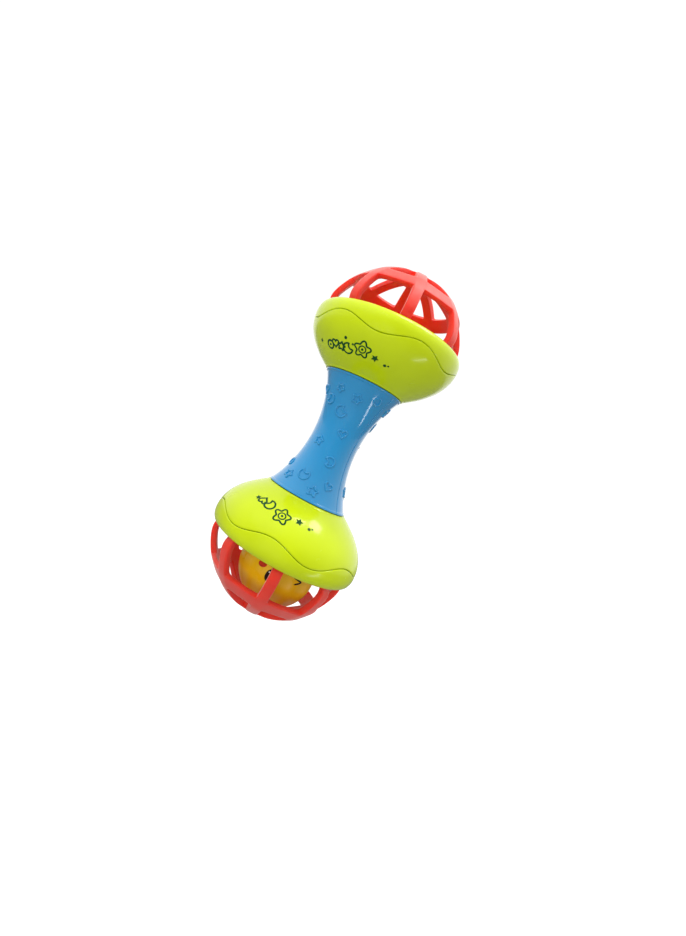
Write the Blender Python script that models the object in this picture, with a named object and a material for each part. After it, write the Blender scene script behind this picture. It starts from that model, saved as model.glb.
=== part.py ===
"""A baby rattle: a waisted two-part handle with a bowl, collar and soft rubber cage at each end.

The rattle's long axis is Z and the origin is the centre of the grip. The two ends mirror each other,
and a loose ball with pellets inside lies in the lower cage.
"""

import math

import bmesh
import bpy
from mathutils import Matrix, Vector

MM = 0.001
GAP = 0.3 * MM
SHARP_ANGLE = math.radians(35)

# Sides of the turned pieces.
SIDES = 36
BOSS_SIDES = 18
SCREW_SIDES = 16
BALL_SIDES = 24
PELLET_SIDES = 10

# Handle: an hourglass whose side is one circular arc.
WAIST_RADIUS = 11.0 * MM
WAIST_ARC = 57.7 * MM
HANDLE_END = 28.2 * MM
HANDLE_WALL = 2.2 * MM
HANDLE_STEPS = 8
HOLLOW_SHOULDER = 0.5 * MM
HOLLOW_STEPS = 5
NECK_RADIUS = 14.0 * MM
FLANGE_RADIUS = 16.5 * MM
FLANGE_LOW = 31.0 * MM
FLANGE_TOP = 33.0 * MM
PARTING_AZIMUTH = math.radians(53)
PARTING_GAP = 0.15 * MM
BLOCK_REACH = 40 * MM

# Handle screws and their bosses, driven in from the rear half.
SCREW_HEIGHT = 18.0 * MM
BOSS_RADIUS = 3.9 * MM
SCREW_RADIUS = 1.0 * MM
SCREW_HEAD_RADIUS = 2.5 * MM
SCREW_HEAD_HEIGHT = 1.5 * MM
SCREW_SEAT = 9.2 * MM
SCREW_TIP = -6.5 * MM
SCREW_POINT_RADIUS = 0.4 * MM
SCREW_POINT_LENGTH = 1.2 * MM
SCREW_HEAD_BEVEL = 0.5 * MM
SLOT_HALF_LENGTH = 1.4 * MM
SLOT_HALF_WIDTH = 0.3 * MM
SLOT_DEPTH = 0.8 * MM
HOLE_OVERRUN = 1.0 * MM

# Bowl and collar: two curves from the handle joint over the belly to the rim.
BOWL_START = (18.7 * MM, 28.5 * MM)
BELLY = (34.5 * MM, 50.0 * MM)
RIM = (32.0 * MM, 55.1 * MM)
BOWL_CURVE = (BOWL_START, (26.0 * MM, 33.5 * MM), (34.6 * MM, 40.0 * MM), BELLY)
RIM_CURVE = (BELLY, (34.5 * MM, 52.2 * MM), (33.7 * MM, 54.6 * MM), RIM)
BOWL_OUTLINE_STEPS = 40
RIM_OUTLINE_STEPS = 12
BOWL_WALL = 2.3 * MM
BOWL_WALL_SLOPE = 1.2 * MM
BOWL_WALL_TOP = 42.5 * MM
BOWL_FLOOR = 2.2 * MM
BOWL_ROWS = 7
BOWL_INNER_ROWS = 5
ROW_SPREAD = 1.5
TONGUE_INNER = 30.2 * MM
TONGUE_OUTER = 31.8 * MM
TONGUE_TOP = 51.2 * MM
COLLAR_INNER = 32.1 * MM
LIP_INNER = 31.0 * MM
LIP_LOW = 53.3 * MM
LIP_TOP = 54.3 * MM
LIP_BEVEL = (0.35 * MM, 0.5 * MM)
BAND_TOP = 51.0 * MM
BAND_ROWS = 3
RIM_STEPS = 5

# Wavy seam between the bowl and the collar.
SEAM_HEIGHT = 47.0 * MM
SEAM_WAVE = 2.0 * MM
SEAM_WAVES = 6
SEAM_CREST = math.radians(22.2)

# Cage: eight ribs, a ring and a hub cut from a spherical shell, on a flange held under the lip.
CAGE_CENTRE = 50.9 * MM
CAGE_OUTER = 33.3 * MM
CAGE_INNER = 30.5 * MM
CAGE_RIBS = 8
FIRST_RIB = {1: math.radians(4.5), -1: math.radians(6.0)}
RIB_WIDTH = 4.2 * MM
RIB_CELLS = 2
WINDOW_CELLS = 3
WIDEST_RIB = 0.42
FLANGE_BAND = (51.5 * MM, 53.0 * MM)
NECK_OUTER = LIP_INNER - GAP
NECK_INNER = 28.4 * MM
NECK_TOP = 54.4 * MM
FOOT_RADII = (31.9 * MM, 29.1 * MM)
FOOT_HEIGHT = 56.5 * MM
SIDE_ELEVATIONS = (16, 24, 32)
RING_ELEVATION = 41.7
RING_WIDTH = 6.6 * MM
CROWN_ELEVATIONS = (56, 66)
HUB_ELEVATION = 75.0
HUB_CENTRE_ELEVATION = 82.0

# Ball, resting in the lower cage a little off the axis, and its pellets.
BALL_RADIUS = 17.5 * MM
BALL_WALL = 2.0 * MM
BALL_CENTRE = Vector((2.4 * MM, 0, -62.1 * MM))
BALL_TONGUE_OUTER = 15.1 * MM
BALL_TONGUE_INNER = 14.6 * MM
BALL_TONGUE_DEPTH = 1.6 * MM
BALL_STEPS = 7
BALL_HOLLOW_STEPS = 5
PELLETS = 6
PELLET_RADIUS = 2.0 * MM
PELLET_ORBIT = 12.2 * MM
PELLET_SPREAD = math.radians(25)
PELLET_STEPS = 6


def clear_scene():
    for obj in list(bpy.data.objects):
        bpy.data.objects.remove(obj, do_unlink=True)


def material(name, colour, roughness, coat=0.0):
    made = bpy.data.materials.new(name)
    made.use_nodes = True
    made.diffuse_color = (*colour, 1)
    shader = made.node_tree.nodes["Principled BSDF"]
    shader.inputs["Base Color"].default_value = (*colour, 1)
    shader.inputs["Roughness"].default_value = roughness
    shader.inputs["Metallic"].default_value = 0.0
    shader.inputs["Coat Weight"].default_value = coat
    return made


def mesh_object(name, points, faces, finish, turn=None):
    """An object of closed faces, all turned to face outwards."""
    work = bmesh.new()
    corners = [work.verts.new(point) for point in points]
    for face in faces:
        work.faces.new([corners[i] for i in face])
    bmesh.ops.recalc_face_normals(work, faces=work.faces)
    if work.calc_volume(signed=True) < 0:
        bmesh.ops.reverse_faces(work, faces=work.faces)
    if turn is not None:
        bmesh.ops.transform(work, matrix=turn, verts=work.verts)
    mesh = bpy.data.meshes.new(name)
    work.to_mesh(mesh)
    work.free()
    mesh.shade_smooth()
    mesh.set_sharp_from_angle(angle=SHARP_ANGLE)
    obj = bpy.data.objects.new(name, mesh)
    bpy.context.collection.objects.link(obj)
    if finish is not None:
        mesh.materials.append(finish)
    return obj


def around(radius, azimuth, height):
    """A point at an azimuth counted from -Y towards +X."""
    return (radius * math.sin(azimuth), -radius * math.cos(azimuth), height)


def bezier(curve, steps):
    """Points along a cubic curve, both ends included."""
    points = []
    for i in range(steps + 1):
        t = i / steps
        weights = ((1 - t) ** 3, 3 * t * (1 - t) ** 2, 3 * t * t * (1 - t), t**3)
        points.append(tuple(sum(w * p[axis] for w, p in zip(weights, curve)) for axis in (0, 1)))
    return points


BULB_OUTLINE = bezier(BOWL_CURVE, BOWL_OUTLINE_STEPS) + bezier(RIM_CURVE, RIM_OUTLINE_STEPS)[1:]


def bulb_radius(height):
    """Outer radius of the bowl or collar at a height above the grip's centre."""
    for (r0, z0), (r1, z1) in zip(BULB_OUTLINE, BULB_OUTLINE[1:]):
        if z0 <= height <= z1:
            return r0 + (r1 - r0) * (height - z0) / (z1 - z0)
    return BULB_OUTLINE[0][0] if height < BOWL_START[1] else RIM[0]


def handle_radius(height):
    return WAIST_RADIUS + WAIST_ARC - math.sqrt(WAIST_ARC**2 - height**2)


def seam_height(azimuth):
    return SEAM_HEIGHT + SEAM_WAVE * math.cos(SEAM_WAVES * (azimuth - SEAM_CREST))


def ring_solid(name, section, end, finish):
    """A closed ring: section(azimuth) gives its closed outline of (radius, height) points."""
    sections = [section(2 * math.pi * k / SIDES) for k in range(SIDES)]
    rows = len(sections[0])
    points = [
        around(radius, 2 * math.pi * k / SIDES, end * height)
        for k, outline in enumerate(sections)
        for radius, height in outline
    ]
    faces = []
    for k in range(SIDES):
        here, there = k * rows, (k + 1) % SIDES * rows
        for i in range(rows):
            j = (i + 1) % rows
            faces.append((here + i, here + j, there + j, there + i))
    return mesh_object(name, points, faces, finish)


def turned_solid(name, outline, finish=None, turn=None, sides=SIDES):
    """A solid turned about Z: the outline's first and last points lie on the axis."""
    points = [(0, 0, outline[0][1])]
    for radius, height in outline[1:-1]:
        points += [around(radius, 2 * math.pi * k / sides, height) for k in range(sides)]
    points.append((0, 0, outline[-1][1]))
    rows = len(outline) - 2
    top = len(points) - 1
    faces = []
    for k in range(sides):
        j = (k + 1) % sides
        faces.append((0, 1 + k, 1 + j))
        faces.append((top, top - sides + j, top - sides + k))
        for row in range(rows - 1):
            base = 1 + row * sides
            faces.append((base + k, base + sides + k, base + sides + j, base + j))
    return mesh_object(name, points, faces, finish, turn)


def rod(name, radius, low, high, turn):
    """A cylinder between two heights on Z, then placed by a matrix."""
    outline = [(0, low), (radius, low), (radius, high), (0, high)]
    return turned_solid(name, outline, turn=turn, sides=BOSS_SIDES)


def box(name, x_range, y_range, z_range, place):
    """A block between pairs of coordinates, then placed by a matrix."""
    points = [(x, y, z) for x in x_range for y in y_range for z in z_range]
    faces = [(0, 1, 3, 2), (4, 6, 7, 5), (0, 4, 5, 1), (2, 3, 7, 6), (0, 2, 6, 4), (1, 5, 7, 3)]
    return mesh_object(name, points, faces, None, place)


def hide_tool(tool):
    tool.hide_render = True
    tool.display_type = "WIRE"
    return tool


def combine(obj, tool, operation):
    step = obj.modifiers.new(tool.name, "BOOLEAN")
    step.operation = operation
    step.solver = "EXACT"
    step.object = hide_tool(tool)


# Handle frame: X lies in the parting plane and Y points from it into the rear half.
PARTING_TURN = Matrix.Rotation(PARTING_AZIMUTH - math.pi / 2, 4, "Z")
SCREW_TURN = Matrix.Rotation(-math.pi / 2, 4, "X")


def screw_place(end):
    """Puts a Z-turned piece on a screw's line: its Z becomes the handle frame's Y."""
    return PARTING_TURN @ Matrix.Translation((0, 0, end * SCREW_HEIGHT)) @ SCREW_TURN


def handle_outline():
    arc = [HANDLE_END * k / HANDLE_STEPS for k in range(-HANDLE_STEPS, HANDLE_STEPS + 1)]
    upper = [
        (NECK_RADIUS, HANDLE_END),
        (NECK_RADIUS, FLANGE_LOW),
        (FLANGE_RADIUS, FLANGE_LOW),
        (FLANGE_RADIUS, FLANGE_TOP),
        (0, FLANGE_TOP),
    ]
    lower = [(radius, -height) for radius, height in reversed(upper)]
    return lower + [(handle_radius(z), z) for z in arc] + upper


def hollow_outline():
    last = HANDLE_END - HANDLE_WALL - HOLLOW_SHOULDER
    arc = [last * k / HOLLOW_STEPS for k in range(-HOLLOW_STEPS, HOLLOW_STEPS + 1)]
    upper = [
        (NECK_RADIUS - HANDLE_WALL, last + HOLLOW_SHOULDER),
        (NECK_RADIUS - HANDLE_WALL, FLANGE_LOW),
        (0, FLANGE_LOW),
    ]
    lower = [(radius, -height) for radius, height in reversed(upper)]
    return lower + [(handle_radius(z) - HANDLE_WALL, z) for z in arc] + upper


def half_space(name, side):
    """A block that keeps one side of the parting plane."""
    across = (-BLOCK_REACH, BLOCK_REACH)
    return box(name, across, (side * PARTING_GAP, side * BLOCK_REACH), across, PARTING_TURN)


def screw_hole(side):
    """The blind hole in the front half, or the clearance hole and head recess in the rear half."""
    hole = SCREW_RADIUS + GAP
    if side < 0:
        foot, mouth = SCREW_TIP - HOLE_OVERRUN, HOLE_OVERRUN
        return [(0, foot), (hole, foot), (hole, mouth), (0, mouth)]
    recess = SCREW_HEAD_RADIUS + GAP
    outside = handle_radius(HANDLE_END)
    shank = [(0, -HOLE_OVERRUN), (hole, -HOLE_OVERRUN), (hole, SCREW_SEAT)]
    return shank + [(recess, SCREW_SEAT), (recess, outside), (0, outside)]


def handle_shell(name, side, finish):
    """One half of the handle. Side +1 is the rear half, where the screws go in."""
    shell = turned_solid(name, handle_outline(), finish)
    combine(shell, turned_solid(f"{name}_hollow", hollow_outline()), "DIFFERENCE")
    wall = handle_radius(SCREW_HEIGHT) - HANDLE_WALL / 2
    places = {"upper": screw_place(1), "lower": screw_place(-1)}
    for tag, place in places.items():
        combine(shell, rod(f"{name}_{tag}_boss", BOSS_RADIUS, -wall, wall, place), "UNION")
    combine(shell, half_space(f"{name}_half", side), "INTERSECT")
    for tag, place in places.items():
        hole = turned_solid(f"{name}_{tag}_hole", screw_hole(side), turn=place, sides=SCREW_SIDES)
        combine(shell, hole, "DIFFERENCE")
    return shell


def handle_screw(name, end, finish):
    head = SCREW_SEAT + GAP
    top = head + SCREW_HEAD_HEIGHT
    outline = [
        (0, SCREW_TIP),
        (SCREW_POINT_RADIUS, SCREW_TIP),
        (SCREW_RADIUS, SCREW_TIP + SCREW_POINT_LENGTH),
        (SCREW_RADIUS, head),
        (SCREW_HEAD_RADIUS, head),
        (SCREW_HEAD_RADIUS, top - SCREW_HEAD_BEVEL),
        (SCREW_HEAD_RADIUS - SCREW_HEAD_BEVEL, top),
        (0, top),
    ]
    place = screw_place(end)
    screw = turned_solid(name, outline, finish, place, sides=SCREW_SIDES)
    length = (-SLOT_HALF_LENGTH, SLOT_HALF_LENGTH)
    width = (-SLOT_HALF_WIDTH, SLOT_HALF_WIDTH)
    depth = (top - SLOT_DEPTH, top + SLOT_DEPTH)
    for k in (0, 1):
        turn = place @ Matrix.Rotation(k * math.pi / 2, 4, "Z")
        combine(screw, box(f"{name}_slot_{k}", length, width, depth, turn), "DIFFERENCE")
    return screw


def cup_section(azimuth):
    """The bowl: floor, belly up to the wavy seam, and the tongue that goes up inside the collar."""
    bottom = BOWL_START[1]
    seam = seam_height(azimuth)
    outer = [bottom + (seam - bottom) * (i / BOWL_ROWS) ** ROW_SPREAD for i in range(BOWL_ROWS + 1)]
    floor = bottom + BOWL_FLOOR
    rise = BOWL_WALL_TOP - floor
    inner = [floor + rise * (i / BOWL_INNER_ROWS) ** ROW_SPREAD for i in range(BOWL_INNER_ROWS + 1)]
    outline = [(NECK_RADIUS + GAP, bottom)]
    outline += [(bulb_radius(z), z) for z in outer]
    outline += [(TONGUE_OUTER, seam), (TONGUE_OUTER, TONGUE_TOP), (TONGUE_INNER, TONGUE_TOP)]
    for z in reversed(inner):
        outline.append((min(bulb_radius(z - BOWL_WALL_SLOPE) - BOWL_WALL, TONGUE_INNER), z))
    outline.append((NECK_RADIUS + GAP, floor))
    return outline


def collar_section(azimuth):
    """The band above the seam, with a rounded rim and a lip that traps the cage's flange."""
    seam = seam_height(azimuth) + GAP
    belly = [seam + (BAND_TOP - seam) * i / BAND_ROWS for i in range(BAND_ROWS + 1)]
    outline = [(bulb_radius(z), z) for z in belly]
    outline += [(r, z) for r, z in bezier(RIM_CURVE, RIM_STEPS) if z > BAND_TOP]
    outline.append((LIP_INNER + LIP_BEVEL[0], LIP_TOP + LIP_BEVEL[1]))
    outline += [(LIP_INNER, LIP_TOP), (LIP_INNER, LIP_LOW)]
    outline += [(COLLAR_INNER, LIP_LOW), (COLLAR_INNER, seam)]
    return outline


def cage_rows():
    """(outer point, inner point, cell) for each row, from the flange to the hub.

    A point is (radius, height). The cell says what lies above that row between two ribs.
    """
    low, top = FLANGE_BAND
    outer_flange = COLLAR_INNER - GAP
    rows = [
        ((outer_flange, low), (NECK_INNER, low), "solid"),
        ((outer_flange, top), (NECK_INNER, (low + top) / 2), "solid"),
        ((NECK_OUTER, top), (NECK_INNER, top), "window"),
        ((NECK_OUTER, NECK_TOP), (NECK_INNER, NECK_TOP), "window"),
        ((FOOT_RADII[0], FOOT_HEIGHT), (FOOT_RADII[1], FOOT_HEIGHT), "window"),
    ]
    half_ring = math.degrees(RING_WIDTH / CAGE_OUTER / 2)
    ring = (RING_ELEVATION - half_ring, RING_ELEVATION, RING_ELEVATION + half_ring)
    steps = [(angle, "window") for angle in SIDE_ELEVATIONS]
    steps += [(ring[0], "solid"), (ring[1], "solid"), (ring[2], "window")]
    steps += [(angle, "window") for angle in CROWN_ELEVATIONS]
    steps += [(HUB_ELEVATION, "solid"), (HUB_CENTRE_ELEVATION, "solid")]
    for angle, cell in steps:
        up, out = math.sin(math.radians(angle)), math.cos(math.radians(angle))
        outer = (CAGE_OUTER * out, CAGE_CENTRE + CAGE_OUTER * up)
        inner = (CAGE_INNER * out, CAGE_CENTRE + CAGE_INNER * up)
        rows.append((outer, inner, cell))
    return rows


def rib_columns(radius, first):
    """Azimuths of one row: each rib's two edges and middle, then the points across its window."""
    pitch = 2 * math.pi / CAGE_RIBS
    edge = min(math.asin(RIB_WIDTH / 2 / radius), WIDEST_RIB * pitch)
    columns = []
    for k in range(CAGE_RIBS):
        middle = first + k * pitch
        columns += [middle - edge, middle, middle + edge]
        window = pitch - 2 * edge
        columns += [middle + edge + window * i / WINDOW_CELLS for i in range(1, WINDOW_CELLS)]
    return columns


def cage(name, end, finish):
    """The soft cage: inner and outer skins over the solid cells, joined by walls at the windows."""
    rows = cage_rows()
    step = RIB_CELLS + WINDOW_CELLS
    across = step * CAGE_RIBS
    skins = []
    points = []
    for side in (0, 1):
        skin = []
        for row in rows:
            radius, height = row[side]
            skin.append(range(len(points), len(points) + across))
            points += [around(radius, a, end * height) for a in rib_columns(radius, FIRST_RIB[end])]
        skin.append(len(points))
        tip = CAGE_CENTRE + (CAGE_OUTER, CAGE_INNER)[side]
        points.append((0, 0, end * tip))
        skins.append(skin)

    def solid(row, column):
        return rows[row][2] == "solid" or column % step < RIB_CELLS

    last = len(rows) - 1
    faces = []
    for column in range(across):
        after = (column + 1) % across
        for skin in skins:
            faces.append((skin[last][column], skin[last][after], skin[last + 1]))
            for row in range(last):
                if solid(row, column):
                    low, high = skin[row], skin[row + 1]
                    faces.append((low[column], low[after], high[after], high[column]))
        outer, inner = skins
        faces.append((outer[0][column], outer[0][after], inner[0][after], inner[0][column]))
        for row in range(last):
            if row and solid(row, column) != solid(row - 1, column):
                edge = (outer[row][column], outer[row][after], inner[row][after], inner[row][column])
                faces.append(edge)
            if solid(row, column) != solid(row, (column - 1) % across):
                low, high = row, row + 1
                edge = (outer[low][column], outer[high][column], inner[high][column], inner[low][column])
                faces.append(edge)
        if not solid(last - 1, column):
            faces.append((outer[last][column], outer[last][after], inner[last][after], inner[last][column]))
    used = sorted({i for face in faces for i in face})
    renumbered = {old: new for new, old in enumerate(used)}
    kept = [points[i] for i in used]
    return mesh_object(name, kept, [[renumbered[i] for i in face] for face in faces], finish)


def ball_shell(name, side, finish):
    """Half of the ball, split across Y. Side +1 is the back half, which has the tongue."""
    inner_radius = BALL_RADIUS - BALL_WALL
    face = PARTING_GAP
    start = math.asin(face / BALL_RADIUS)
    quarter = [start + (math.pi / 2 - start) * i / BALL_STEPS for i in range(BALL_STEPS)]
    outline = [(BALL_RADIUS * math.cos(a), BALL_RADIUS * math.sin(a)) for a in quarter]
    outline = [(0, BALL_RADIUS)] + outline[::-1]
    if side > 0:
        hollow_start = math.acos(BALL_TONGUE_INNER / inner_radius)
        outline += [
            (BALL_TONGUE_OUTER, face),
            (BALL_TONGUE_OUTER, -BALL_TONGUE_DEPTH),
            (BALL_TONGUE_INNER, -BALL_TONGUE_DEPTH),
        ]
    else:
        hollow_start = math.asin(face / inner_radius)
    opening = math.pi / 2 - hollow_start
    hollow = [hollow_start + opening * i / BALL_HOLLOW_STEPS for i in range(BALL_HOLLOW_STEPS)]
    outline += [(inner_radius * math.cos(a), inner_radius * math.sin(a)) for a in hollow]
    outline.append((0, inner_radius))
    place = Matrix.Translation(BALL_CENTRE) @ Matrix.Rotation(-side * math.pi / 2, 4, "X")
    return turned_solid(name, outline, finish, place, sides=BALL_SIDES)


def pellets(finish):
    """One pellet under the ball's centre and the others in a ring around it."""
    for k in range(PELLETS):
        spread = PELLET_SPREAD if k else 0
        azimuth = 2 * math.pi * k / (PELLETS - 1)
        level = PELLET_ORBIT * math.sin(spread)
        offset = Vector(around(level, azimuth, -PELLET_ORBIT * math.cos(spread)))
        arc = [math.pi * i / PELLET_STEPS - math.pi / 2 for i in range(PELLET_STEPS + 1)]
        outline = [(PELLET_RADIUS * math.cos(a), PELLET_RADIUS * math.sin(a)) for a in arc]
        outline[0], outline[-1] = (0, -PELLET_RADIUS), (0, PELLET_RADIUS)
        place = Matrix.Translation(BALL_CENTRE + offset)
        turned_solid(f"rattle_pellet_{k + 1}", outline, finish, place, sides=PELLET_SIDES)


def build():
    clear_scene()
    blue = material("blue_plastic", (0.03, 0.20, 0.46), 0.18, coat=0.3)
    lime = material("lime_plastic", (0.50, 0.66, 0.01), 0.22, coat=0.3)
    red = material("red_rubber", (0.70, 0.04, 0.03), 0.45)
    yellow = material("ball_plastic", (0.62, 0.25, 0.005), 0.30, coat=0.2)
    steel = material("screw_steel", (0.55, 0.55, 0.56), 0.30)
    white = material("pellet_plastic", (0.80, 0.80, 0.78), 0.35)
    handle_shell("handle_shell_front", -1, blue)
    handle_shell("handle_shell_rear", 1, blue)
    for prefix, end in (("upper", 1), ("lower", -1)):
        handle_screw(f"handle_screw_{prefix}", end, steel)
        ring_solid(f"{prefix}_cup", cup_section, end, lime)
        ring_solid(f"{prefix}_collar", collar_section, end, lime)
        cage(f"{prefix}_cage", end, red)
    ball_shell("ball_shell_front", -1, yellow)
    ball_shell("ball_shell_back", 1, yellow)
    pellets(white)


build()
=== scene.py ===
"""Looks of the baby rattle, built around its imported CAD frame.

Lengths are metres in the frame: Z runs along the rattle, the origin is the middle of the grip, and
an azimuth is counted from -Y towards +X. The two ends mirror each other.
"""

import math

import bmesh
import bpy
from mathutils import Matrix, Vector


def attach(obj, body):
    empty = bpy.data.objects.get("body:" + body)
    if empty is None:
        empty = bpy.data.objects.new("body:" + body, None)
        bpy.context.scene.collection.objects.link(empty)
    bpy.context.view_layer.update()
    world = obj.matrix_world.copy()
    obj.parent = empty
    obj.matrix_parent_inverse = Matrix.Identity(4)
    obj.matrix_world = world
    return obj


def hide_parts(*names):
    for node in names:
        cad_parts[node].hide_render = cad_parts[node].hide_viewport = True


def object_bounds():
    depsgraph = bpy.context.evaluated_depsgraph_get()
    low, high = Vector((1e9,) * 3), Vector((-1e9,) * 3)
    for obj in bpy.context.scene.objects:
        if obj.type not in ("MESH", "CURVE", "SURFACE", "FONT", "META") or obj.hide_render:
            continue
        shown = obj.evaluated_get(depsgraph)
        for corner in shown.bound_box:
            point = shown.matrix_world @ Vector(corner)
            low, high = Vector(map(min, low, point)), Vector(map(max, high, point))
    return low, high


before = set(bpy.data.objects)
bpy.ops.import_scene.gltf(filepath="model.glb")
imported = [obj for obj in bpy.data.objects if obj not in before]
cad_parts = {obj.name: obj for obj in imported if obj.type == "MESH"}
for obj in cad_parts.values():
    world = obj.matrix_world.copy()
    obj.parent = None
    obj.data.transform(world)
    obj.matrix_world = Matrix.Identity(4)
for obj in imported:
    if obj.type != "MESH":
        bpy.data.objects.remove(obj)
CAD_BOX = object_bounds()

MM = 0.001
ENDS = (("upper", 1), ("lower", -1))
SHARP_ANGLE = 40
SCREW_SHARP_ANGLE = 35
DRAWN_SHARP_ANGLE = 60
SCREW_SIDES = 48
BORE_SIDES = 64
BALL_SIDES = 128
PELLET_SIDES = 32

# Handle
WAIST_RADIUS = 11.0 * MM
WAIST_ARC = 57.7 * MM
HANDLE_END = 28.2 * MM
HANDLE_WALL = 2.2 * MM
NECK_RADIUS = 14.0 * MM
FLANGE_RADIUS = 16.5 * MM
FLANGE_LOW = 31.0 * MM
FLANGE_TOP = 33.0 * MM
HOLLOW_INSET = 0.5 * MM
GRIP_ROWS = 40
PARTING_AZIMUTH = math.radians(53)
PARTING_GAP = 0.06 * MM
PARTING_ROUND = 0.28 * MM
LIP_HEIGHT = 1.1 * MM
LIP_RISE = 0.3 * MM
SCREW_HEIGHT = 18.0 * MM
BOSS_RADIUS = 3.9 * MM
BOSS_START = 1.0 * MM
MOUTH_DEPTH = 0.35 * MM
MOUTH_CHAMFER = 0.8 * MM
SCREW_RADIUS = 1.0 * MM
SCREW_HEAD_RADIUS = 2.5 * MM
SCREW_HEAD_HEIGHT = 1.5 * MM
SCREW_HEAD_CHAMFER = 0.1 * MM
SCREW_HEAD_BEND = 0.55 * MM
SCREW_HEAD_FLAT = 0.45
SCREW_SEAT = 9.2 * MM
SCREW_TIP = -6.5 * MM
TIP_RADIUS = 0.25 * MM
TIP_CHAMFER = 0.1 * MM
THREAD_START = SCREW_TIP + 1.4 * MM
THREAD_RUNOUT = 1.0 * MM
THREAD_PITCH = 0.8 * MM
THREAD_DEPTH = 0.18 * MM
BLADE_FOOT = 0.28 * MM
BLADE_TOP = 0.5 * MM
BLADE_DEPTH = 1.7 * MM
BLADE_STRETCH = 3.6
CLEARANCE = 0.3 * MM

# Bowl and collar
BOWL_START = (18.7 * MM, 28.5 * MM)
BELLY = (34.5 * MM, 50.0 * MM)
RIM = (32.0 * MM, 55.1 * MM)
BOWL_CURVE = (BOWL_START, (26.0 * MM, 33.5 * MM), (34.6 * MM, 40.0 * MM), BELLY)
RIM_CURVE = (BELLY, (34.5 * MM, 52.2 * MM), (33.7 * MM, 54.6 * MM), RIM)
LIP_CURVE = (RIM, (31.45 * MM, 55.26 * MM), (31.0 * MM, 54.9 * MM), (31.0 * MM, 54.2 * MM))
BOWL_WALL = 2.3 * MM
BOWL_FLOOR = 2.2 * MM
TOE_ROUND = 0.35 * MM
TOE_INSET = 0.95 * TOE_ROUND
TOE_TOP = 1.3 * TOE_ROUND
INSIDE_TOP = 42.5 * MM
INSIDE_SHIFT = 1.2 * MM
OUTSIDE_ROWS = 44
INSIDE_ROWS = 23
TONGUE_INNER = 30.2 * MM
TONGUE_OUTER = 31.8 * MM
TONGUE_TOP = 51.2 * MM
COLLAR_INNER = 32.1 * MM
LIP_INNER = 31.0 * MM
LIP_LOW = 53.3 * MM
BAND_TOP = BELLY[1] + 1.0 * MM
SEAM_HEIGHT = 47.0 * MM
SEAM_WAVE = 2.0 * MM
SEAM_WAVES = 6
SEAM_CREST = math.radians(22.2)
SEAM_GAP = 0.18 * MM
SEAM_ROUND = 0.42 * MM

# Cage
CAGE_CENTRE = 50.9 * MM
CAGE_OUTER = 33.3 * MM
CAGE_INNER = 30.5 * MM
CAGE_RIBS = 8
# The flange and the ribs' feet: (outer point, inner point, whether open between the ribs)
CAGE_FOOT = (
    ((31.8 * MM, 51.5 * MM), (28.4 * MM, 51.5 * MM), False),
    ((31.8 * MM, 52.9 * MM), (28.4 * MM, 52.2 * MM), False),
    ((30.6 * MM, 53.0 * MM), (28.4 * MM, 53.0 * MM), True),
    ((30.55 * MM, 54.4 * MM), (28.4 * MM, 54.4 * MM), True),
    ((31.7 * MM, 56.5 * MM), (29.1 * MM, 56.5 * MM), True),
)
FIRST_RIB = {1: math.radians(4.5), -1: math.radians(6.0)}
RIB_HALF = 2.3 * MM
RIB_SHOULDER = 1.35 * MM
WIDEST_RIB = 0.4
CORNER_STEP = 1.5 * MM
WIDEST_CORNER = 0.6
WINDOW_SINK = 0.4 * MM
# Elevations on the cage's dome, in degrees
RIB_ELEVATIONS = (15, 24, 32)
RING_ELEVATION = 41.7
RING_HALF = 6.0
RING_EDGE = 2.2
CROWN_ELEVATION = 60
HUB_EDGE = 70.0
HUB_ELEVATIONS = (75.0, 78.0, 84)

# Ball
BALL_RADIUS = 17.5 * MM
BALL_WALL = 2.0 * MM
BALL_GAP = 0.05 * MM
BALL_SEAM_ROUND = 0.16 * MM
BALL_CENTRE = Vector((2.4 * MM, 0, -62.1 * MM))
PELLETS = 6
PELLET_RADIUS = 2.0 * MM
PELLET_ORBIT = 12.2 * MM
PELLET_SPREAD = math.radians(25)


# ---------------------------------------------------------------- mesh tools


def around(radius, azimuth, height):
    """The point at a radius, azimuth and height."""
    return (radius * math.sin(azimuth), -radius * math.cos(azimuth), height)


def bezier(curve, steps):
    """Points along a cubic curve, both ends included."""
    points = []
    for i in range(steps + 1):
        t = i / steps
        weights = ((1 - t) ** 3, 3 * t * (1 - t) ** 2, 3 * t * t * (1 - t), t**3)
        points.append(tuple(sum(w * p[axis] for w, p in zip(weights, curve)) for axis in (0, 1)))
    return points


def arc(centre, radius, start, end, steps):
    """Points of a circular arc in degrees, both ends included."""
    angles = [math.radians(start + (end - start) * i / steps) for i in range(steps + 1)]
    return [(centre[0] + radius * math.cos(a), centre[1] + radius * math.sin(a)) for a in angles]


def smooth(mesh, angle):
    """Smooth shading, but sharp where faces meet at more than an angle in degrees."""
    mesh.shade_smooth()
    mesh.set_sharp_from_angle(angle=math.radians(angle))


def finish_mesh(work, name, finish, smooth_angle=SHARP_ANGLE):
    """An object from a bmesh whose closed bodies all face outwards."""
    bmesh.ops.remove_doubles(work, verts=work.verts, dist=1e-7)
    bmesh.ops.recalc_face_normals(work, faces=work.faces)
    if work.calc_volume(signed=True) < 0:
        bmesh.ops.reverse_faces(work, faces=work.faces)
    mesh = bpy.data.meshes.new(name)
    work.to_mesh(mesh)
    work.free()
    smooth(mesh, smooth_angle)
    obj = bpy.data.objects.new(name, mesh)
    bpy.context.scene.collection.objects.link(obj)
    if finish is not None:
        mesh.materials.append(finish)
    return obj


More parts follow.
